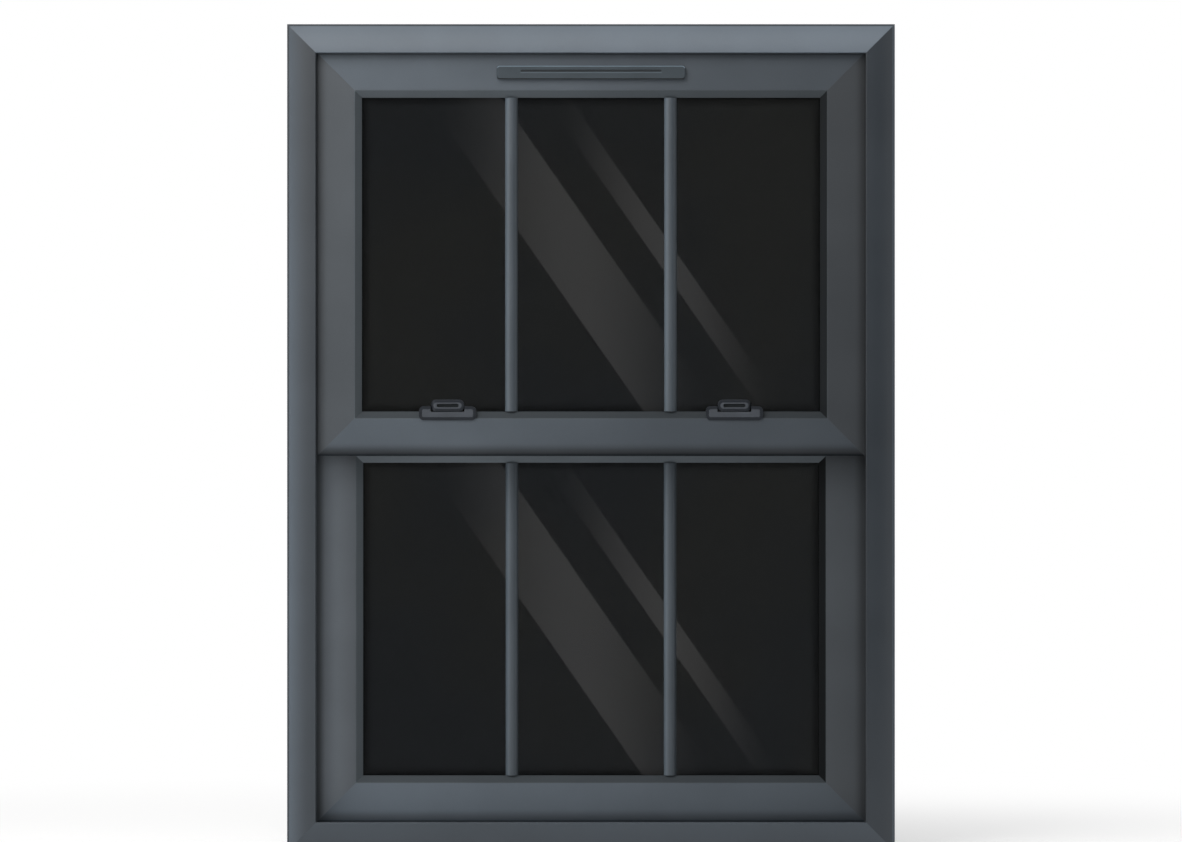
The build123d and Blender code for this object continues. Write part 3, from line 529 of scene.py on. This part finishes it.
by_slot = {
    "frame_finish": powder_coat("frame_coat", COAT),
    "sash_finish": powder_coat("sash_coat", COAT),
    # Painted light and shade: the round bars lighter on their left-facing side, darker on their
    # right-facing side
    "bar_finish": powder_coat(
        "bar_coat", shaded(BAR_COAT, 0.94), facing(RIGHT, 0.88), facing(LEFT, 1.65), edge=0.0003
    ),
    "gasket": gasket_rubber(),
    "pile": woven_pile(),
    "spacer": spacer_bar(),
    "mill_aluminium": metal(
        "mill_aluminium", (0.56, 0.57, 0.59), rough=0.42, brush=(1, 0.03, 1), scale=900
    ),
    "black_plastic": moulding("black_plastic", (0.016, 0.016, 0.017), rough=0.5),
    "nylon": moulding("nylon", (0.030, 0.032, 0.035), rough=0.46),
    "tube_plastic": moulding("tube_plastic", (0.055, 0.060, 0.066), rough=0.36),
    "steel": metal("zinc_steel", (0.50, 0.51, 0.53), rough=0.32, brush=LENGTHWAYS, scale=1400),
    "catch_dark": catch_casting("catch_dark", CATCH_DARK),
    "catch_light": catch_casting("catch_light", CATCH_LIGHT),
    "vent_plastic": moulding("vent_plastic", VENT_COAT, rough=0.42, edge=0.0005),
}
by_node = {
    # Painted light: the head's coat lighter, as its face tilts up to the light, and a little
    # lighter towards the right, with a painted dark line along the outer strip's edge
    "frame_head": powder_coat(
        "frame_head_coat",
        shaded(COAT, 1.27),
        stripe("Y", STRIP_Y, STRIP_HALF, share=0.42),
        gradient("X", (-HALF_WIDTH, 0.92), (HALF_WIDTH, 1.08)),
    ),
    # Painted shade: the sill's coat darker, as its face tilts down away from the light
    "frame_sill": powder_coat("frame_sill_coat", shaded(COAT, 0.63)),
    # Painted light and shade: the left jamb lighter along its outer edge, darker towards its
    # nose and darker towards the top, with a painted dark line along the outer strip's edge
    "frame_left_jamb": powder_coat(
        "frame_left_coat",
        COAT,
        gradient("X", (-HALF_WIDTH - 0.012, 1.26), (-HALF_WIDTH + 0.034, 0.42)),
        gradient("Z", (FOOT + HEIGHT * 0.42, 1.02), (TOP, 0.74)),
        stripe("Y", STRIP_Y, STRIP_HALF, share=0.5),
    ),
    # Painted shade: the right jamb darker, as it faces away from the key light, and darker still
    # at its nose, with a painted highlight on its outer strip
    "frame_right_jamb": powder_coat(
        "frame_right_coat",
        shaded(COAT, 0.40),
        gradient("X", (LIP_X, 0.85), (LIP_X + 0.006, 1.0)),
        front_only(stripe("X", HALF_WIDTH - 0.0022, 0.0016, share=1.95), STRIP_BACK),
    ),
    "left_catch_lever": two_tone_lever(),
    "balance_springs": spring_coil(),
    "vent_flap": vent_moulding(),
}
by_node["right_catch_lever"] = by_node["left_catch_lever"]

# Sashes, with painted light and shade: light falling off from left to right across rails and
# beads, shadow bands and lines beside the frame's lip, and beads toned by the way they face. The
# lower sash stands deeper in the frame's real shadow, which its coats, painted lighter, even out
# a little.
rail_painted_light = gradient("X", (-SASH_EDGE, 1.26), (SASH_EDGE, 0.76))
bead_painted_light = gradient("X", (-SASH_EDGE, 1.17), (SASH_EDGE, 0.77))
right_painted_shadow = gradient("X", (LIP_X - BAND, 1.0), (LIP_X, 0.4))
left_painted_shadow = gradient("X", (-LIP_X, 0.55), (-LIP_X + BAND, 1.0))
left_painted_shadow_line = gradient("X", (-LIP_X + 0.0005, 0.6), (-LIP_X + 0.0045, 1.0))
lower_left_painted_shadow_line = gradient("X", (-LIP_X + 0.0005, 0.40), (-LIP_X + 0.0120, 1.0))
lower_left_painted_shading = gradient("X", (-LIP_X + 0.0155, 1.15), (-LIP_X + 0.0635, 0.63))
# Each sash: the painted light level of its left and right stile, the left one's painted shadow
# tones, and the painted light shares of the bead faces that look up, down, left and right
SASHES = (
    ("top_sash", 0.715, 0.41, (left_painted_shadow_line, left_painted_shadow), (0.6, 1.2, 0.18, 0.89)),
    ("bottom_sash", 1.32, 0.60, (lower_left_painted_shadow_line, lower_left_painted_shading), (0.69, 1.9, 0.09, 1.01)),
)
for sash, left_painted_level, right_painted_level, left_painted_tones, bead_painted_shares in SASHES:
    by_node[sash + "_left_stile"] = powder_coat(
        sash + "_left_coat", shaded(STILE_COAT, left_painted_level), *left_painted_tones, sheen=left_painted_shadow_line
    )
    by_node[sash + "_right_stile"] = powder_coat(
        sash + "_right_coat", shaded(STILE_COAT, right_painted_level), right_painted_shadow
    )
    painted_bead_sides = map(facing, (UP, DOWN, LEFT, RIGHT), bead_painted_shares)
    by_node[sash + "_beads"] = powder_coat(
        sash + "_bead_coat", BEAD_COAT, bead_painted_light, *painted_bead_sides, edge=0.0003, level=0.15
    )
    for pane in ("_front_pane", "_rear_pane"):
        by_node[sash + pane] = tinted_glass(sash)
# Painted light and shade on the top rail: darker overall, light falling off from left to right,
# and painted shadow under the frame's head
by_node["top_sash_top_rail"] = powder_coat(
    "top_rail_coat",
    shaded(COAT, 0.75),
    rail_painted_light,
    gradient("Z", (LIP_Z - 0.0042, 1.0), (LIP_Z, 0.43)),
    gradient("Z", (LIP_Z - 0.012, 1.0), (LIP_Z - 0.006, 0.87)),
)
# Each lower rail: where its visible face ends, its painted light share, and the share of its
# painted shadow band along the lower edge
LOWER_RAILS = (
    ("top_sash_meeting_rail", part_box("top_sash_meeting_rail")[0].z + 0.003, 0.70, 0.24),
    ("bottom_sash_bottom_rail", FOOT + LIP_REACH, 0.98, 0.46),
)
for name, low, share, painted_band_share in LOWER_RAILS:
    # Painted shadow band along each lower rail's lower edge, and a painted dark shadow line at
    # its arris, where the specular level is also lowered
    by_node[name] = powder_coat(
        name + "_coat",
        shaded(COAT, share),
        rail_painted_light,
        gradient("Z", (low, painted_band_share), (low + BAND, 1.0)),
        gradient("Z", (low - 0.0035, 0.3), (low, 1.0)),
        sheen=gradient("Z", (low - 0.003, 0.05), (low + 0.003, 1.0)),
    )

for row in frame["record"]["subparts"]:
    name = row["node"]
    mesh = nodes[name].data
    mesh.materials.clear()
    mesh.materials.append(by_node[name] if name in by_node else by_slot[row["material_slot"]])


# Socket screws: sides around them, steps over the crown, and the angle of a sharp edge
SCREW_SIDES = 24
CROWN_STEPS = 4
SHARP_ANGLE = radians(35)
# Shares of a screw's height: where its crown starts, and where its socket ends
RIM_SHARE = 0.35
SOCKET_FLOOR = 0.5
# Shares of a screw's radius: its flat top and its socket
CROWN_SHARE = 0.62
SOCKET_SHARE = 0.42
# Radius and height of each kind of screw
KEEP_SCREW = (0.0031, 0.0016)
STOP_SCREW = (0.0036, 0.0018)
screw_metal = metal(
    "screw_steel", (0.20, 0.205, 0.215), rough=0.34, brush=(1, 1, 1), scale=1800
)


def ring(radii, height):
    """Points around Z at one height, one for each radius."""
    points = []
    for index, radius in enumerate(radii):
        turn = 2 * pi * index / SCREW_SIDES
        points.append((radius * cos(turn), radius * sin(turn), height))
    return points


def screw(name, centre, outward, size, body):
    """Round-headed socket screw that stands on a face."""
    radius, height = size
    points = ring([radius] * SCREW_SIDES, 0.0)
    for step in range(CROWN_STEPS + 1):
        turn = step * pi / (2 * CROWN_STEPS)
        reach = radius * (CROWN_SHARE + (1 - CROWN_SHARE) * cos(turn))
        points += ring([reach] * SCREW_SIDES, height * (RIM_SHARE + (1 - RIM_SHARE) * sin(turn)))
    hexagon = [
        radius * SOCKET_SHARE * cos(pi / 6)
        / cos((2 * pi * index / SCREW_SIDES) % (pi / 3) - pi / 6)
        for index in range(SCREW_SIDES)
    ]
    points += ring(hexagon, height) + ring(hexagon, height * SOCKET_FLOOR)
    last = len(points) - SCREW_SIDES
    faces = []
    for low in range(0, last, SCREW_SIDES):
        high = low + SCREW_SIDES
        for index in range(SCREW_SIDES):
            beside = (index + 1) % SCREW_SIDES
            faces.append((low + index, low + beside, high + beside, high + index))
    faces.append(tuple(range(last, last + SCREW_SIDES)))
    faces.append(tuple(reversed(range(SCREW_SIDES))))
    mesh = bpy.data.meshes.new(name)
    mesh.from_pydata(points, [], faces)
    mesh.materials.append(screw_metal)
    piece = bpy.data.objects.new(name, mesh)
    bpy.context.scene.collection.objects.link(piece)
    turned = outward.to_track_quat("Z", "Y").to_matrix().to_4x4()
    piece.matrix_world = Matrix.Translation(centre) @ turned
    for face in mesh.polygons:
        face.use_smooth = len(face.vertices) == 4
    mesh.set_sharp_from_angle(angle=SHARP_ANGLE)
    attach(piece, body)


SIDES = ((-1, "left"), (1, "right"))
KEEP_LENGTH = 0.062
KEEP_SCREW_OFFSET = 0.0245
keep_low, keep_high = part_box("catch_keeps")
keep_middle = keep_high.x - KEEP_LENGTH / 2
keep_z = (keep_low.z + keep_high.z) / 2
for side, side_name in SIDES:
    for step, end_name in ((-1, "inner"), (1, "outer")):
        name = f"{side_name}_keep_{end_name}_screw"
        place = Vector((side * (keep_middle + step * KEEP_SCREW_OFFSET), keep_low.y, keep_z))
        screw(name, place, Vector((0, -1, 0)), KEEP_SCREW, "bottom_sash")

STOP_WIDTH = 0.011
STOP_HEIGHT = 0.025
STOP_FACE = SASH_EDGE - 0.0095
stop_low, stop_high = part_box("travel_stops")
stop_places = (
    ("front", stop_low.y + STOP_WIDTH / 2, stop_low.z + STOP_HEIGHT / 2),
    ("rear", stop_high.y - STOP_WIDTH / 2, stop_high.z - STOP_HEIGHT / 2),
)
for side, side_name in SIDES:
    for row_name, y, z in stop_places:
        name = f"{side_name}_{row_name}_stop_screw"
        screw(name, Vector((side * STOP_FACE, y, z)), Vector((-side, 0, 0)), STOP_SCREW, "frame")


# Camera: straight in front and far back, as the photograph's flat view needs
VIEW_DISTANCE = 9.94
VIEW_HEIGHT = 0.6475
LENS = 200
SENSOR = 36
VIEW_LIMIT = 100
camera = bpy.data.objects.new("camera", bpy.data.cameras.new("camera"))
bpy.context.scene.collection.objects.link(camera)
camera.data.lens = LENS
camera.data.sensor_width = SENSOR
camera.data.clip_end = VIEW_LIMIT
camera.location = (0, -VIEW_DISTANCE, VIEW_HEIGHT)
camera.rotation_euler = (radians(90), 0, 0)
bpy.context.scene.camera = camera
bpy.context.scene.view_settings.view_transform = "Standard"

# World: plain grey light, white where it is seen
AMBIENT = 0.32
world = bpy.data.worlds.new("studio")
bpy.context.scene.world = world
tree = cleared(world)
strength = calc(tree, "MAXIMUM", seen_rays(tree), AMBIENT)
sky = put(tree, "Background", {"Color": rgba(WHITE), "Strength": strength})
put(tree, "OutputWorld", {"Surface": sky.outputs[0]})


def flat_mesh(name, corners, material):
    """Single plane of the studio, which isn't part of the object."""
    mesh = bpy.data.meshes.new(name)
    mesh.from_pydata(corners, [], [tuple(range(len(corners)))])
    mesh.materials.append(material)
    plane = bpy.data.objects.new(name, mesh)
    bpy.context.scene.collection.objects.link(plane)
    plane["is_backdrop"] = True
    return plane


# Floor: pale, with the window's shadow near its foot, going over to pure white further out
FLOOR_REACH = 60
FLOOR_LIFT = 0.36
FLOOR_FADE = (0.5, 2.2)
floor_material = bpy.data.materials.new("pale_floor")
tree = cleared(floor_material)
place = put(tree, "TexCoord").outputs["Object"]
distance = put(tree, "VectorMath", {0: place}, operation="LENGTH").outputs["Value"]
pale = blend(tree, noise(tree, place, scale=90, detail=3), grey(0.80), grey(0.84))
diffuse = put(tree, "BsdfDiffuse", {"Color": pale})
seen = seen_rays(tree)
lift = put(tree, "Emission", {"Strength": product(tree, seen, FLOOR_LIFT)})
near = put(tree, "AddShader", {0: diffuse.outputs[0], 1: lift.outputs[0]})
far = put(tree, "Emission", {"Strength": 1.0})
share = product(tree, ease(tree, distance, *FLOOR_FADE), seen)
shown = put(tree, "MixShader", {0: share, 1: near.outputs[0], 2: far.outputs[0]})
put(tree, "OutputMaterial", {"Surface": shown.outputs[0]})
turns = ((-1, -1), (1, -1), (1, 1), (-1, 1))
flat_mesh("floor", [(x * FLOOR_REACH, y * FLOOR_REACH, FOOT) for x, y in turns], floor_material)

# Two studio cards in front of the window, seen only in reflections. The dark one keeps the glass
# dark and carries the two slanting streaks that it mirrors; the pale one, higher up, gives the
# outward-tilted faces of the frame their satin sheen. Each: left, right, low, high.
CARD_Y = -1.5
CARD_SOFT = 0.18
CARD_COLOUR = (1.0, 0.985, 0.98)
DARK_CARD = (-1.15, 2.9, FOOT - 0.25, 1.8)
DARK_STRENGTH = 0.012
PALE_CARD = (-1.6, 1.1, 1.85, 3.3)
PALE_STRENGTH = 2.5
# How much larger the card's picture is than its mirror image on the glass
GLASS_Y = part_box("top_sash_front_pane")[0].y
MIRROR = 1 + (GLASS_Y - CARD_Y) / (GLASS_Y + VIEW_DISTANCE)
# Streaks: their slant, how far lower the lower sash shows them, and where it takes over
SLANT = 0.695
LOWER_SHIFT = 0.5555
MEETING = (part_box("top_sash_front_pane")[0].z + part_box("bottom_sash_front_pane")[1].z) / 2
STREAK_EDGE = 0.0015
# Each streak: where it starts and ends across the slant, then where along X it rises from, peaks
# and fades out, and its strength
STREAKS = (
    (0.5396, 0.6530, -0.245, -0.020, 0.185, 0.62),
    (0.7177, 0.7553, -0.062, 0.112, 0.280, 0.60),
)


def streak_glow(tree, x, z):
    """Brightness of the dark card, so that the streaks stand at their places on the glass."""
    glass_x = calc(tree, "DIVIDE", x, MIRROR)
    above = calc(tree, "DIVIDE", calc(tree, "SUBTRACT", z, VIEW_HEIGHT), MIRROR)
    glass_z = calc(tree, "ADD", above, VIEW_HEIGHT)
    lower = calc(tree, "LESS_THAN", glass_z, MEETING)
    glass_z = calc(tree, "ADD", glass_z, product(tree, lower, LOWER_SHIFT))
    slant = calc(tree, "ADD", glass_x, product(tree, glass_z, SLANT))
    glow = DARK_STRENGTH
    for start, end, rise, peak, fall, strength in STREAKS:
        inside = between(tree, slant, start - STREAK_EDGE, end + STREAK_EDGE, 2 * STREAK_EDGE)
        rising = ease(tree, glass_x, rise, peak)
        along = product(tree, rising, ease(tree, glass_x, fall, peak))
        glow = calc(tree, "ADD", glow, product(tree, inside, along, strength))
    return glow


def studio_card(name, left, right, low, high, make_strength):
    """Upright card with soft borders that only reflections show."""
    material = bpy.data.materials.new(name)
    tree = cleared(material)
    x, _, z = axes(tree, put(tree, "TexCoord").outputs["Object"])
    strength = make_strength(tree, x, z)
    glow = put(tree, "Emission", {"Color": rgba(CARD_COLOUR), "Strength": strength})
    across = between(tree, x, left, right, CARD_SOFT)
    solid = product(tree, across, between(tree, z, low, high, CARD_SOFT))
    clear = put(tree, "BsdfTransparent")
    shown = put(tree, "MixShader", {0: solid, 1: clear.outputs[0], 2: glow.outputs[0]})
    put(tree, "OutputMaterial", {"Surface": shown.outputs[0]})
    outline = ((left, low), (right, low), (right, high), (left, high))
    card = flat_mesh(name, [(x, CARD_Y, z) for x, z in outline], material)
    for kind in ("camera", "diffuse", "transmission", "volume_scatter", "shadow"):
        setattr(card, "visible_" + kind, False)


studio_card("dark_card", *DARK_CARD, streak_glow)
studio_card("pale_card", *PALE_CARD, lambda *_: PALE_STRENGTH)

# Square soft lamps, all turned to the window's middle. Each: place, size, power, colour, and
# whether reflections show it. The key light comes from the upper left, in front.
WINDOW_MIDDLE = Vector((0, 0, FOOT + HEIGHT / 2))
LAMPS = (
    ("key", (-1.35, -2.1, 2.6), 2.2, 63, (1.0, 0.99, 0.975), True),
    ("fill", (-0.9, -4.2, 0.9), 2.4, 62, (0.98, 0.99, 1.0), False),
    ("rear", (1.7, 3.0, 2.3), 1.8, 45, WHITE, False),
)
for name, place, size, power, colour, mirrored in LAMPS:
    lamp = bpy.data.objects.new(name, bpy.data.lights.new(name, "AREA"))
    bpy.context.scene.collection.objects.link(lamp)
    lamp.data.size = size
    lamp.data.energy = power
    lamp.data.color = colour
    lamp.location = place
    lamp.rotation_euler = (WINDOW_MIDDLE - Vector(place)).to_track_quat("-Z", "Y").to_euler()
    lamp.visible_glossy = mirrored
    lamp.visible_transmission = mirrored

low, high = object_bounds()
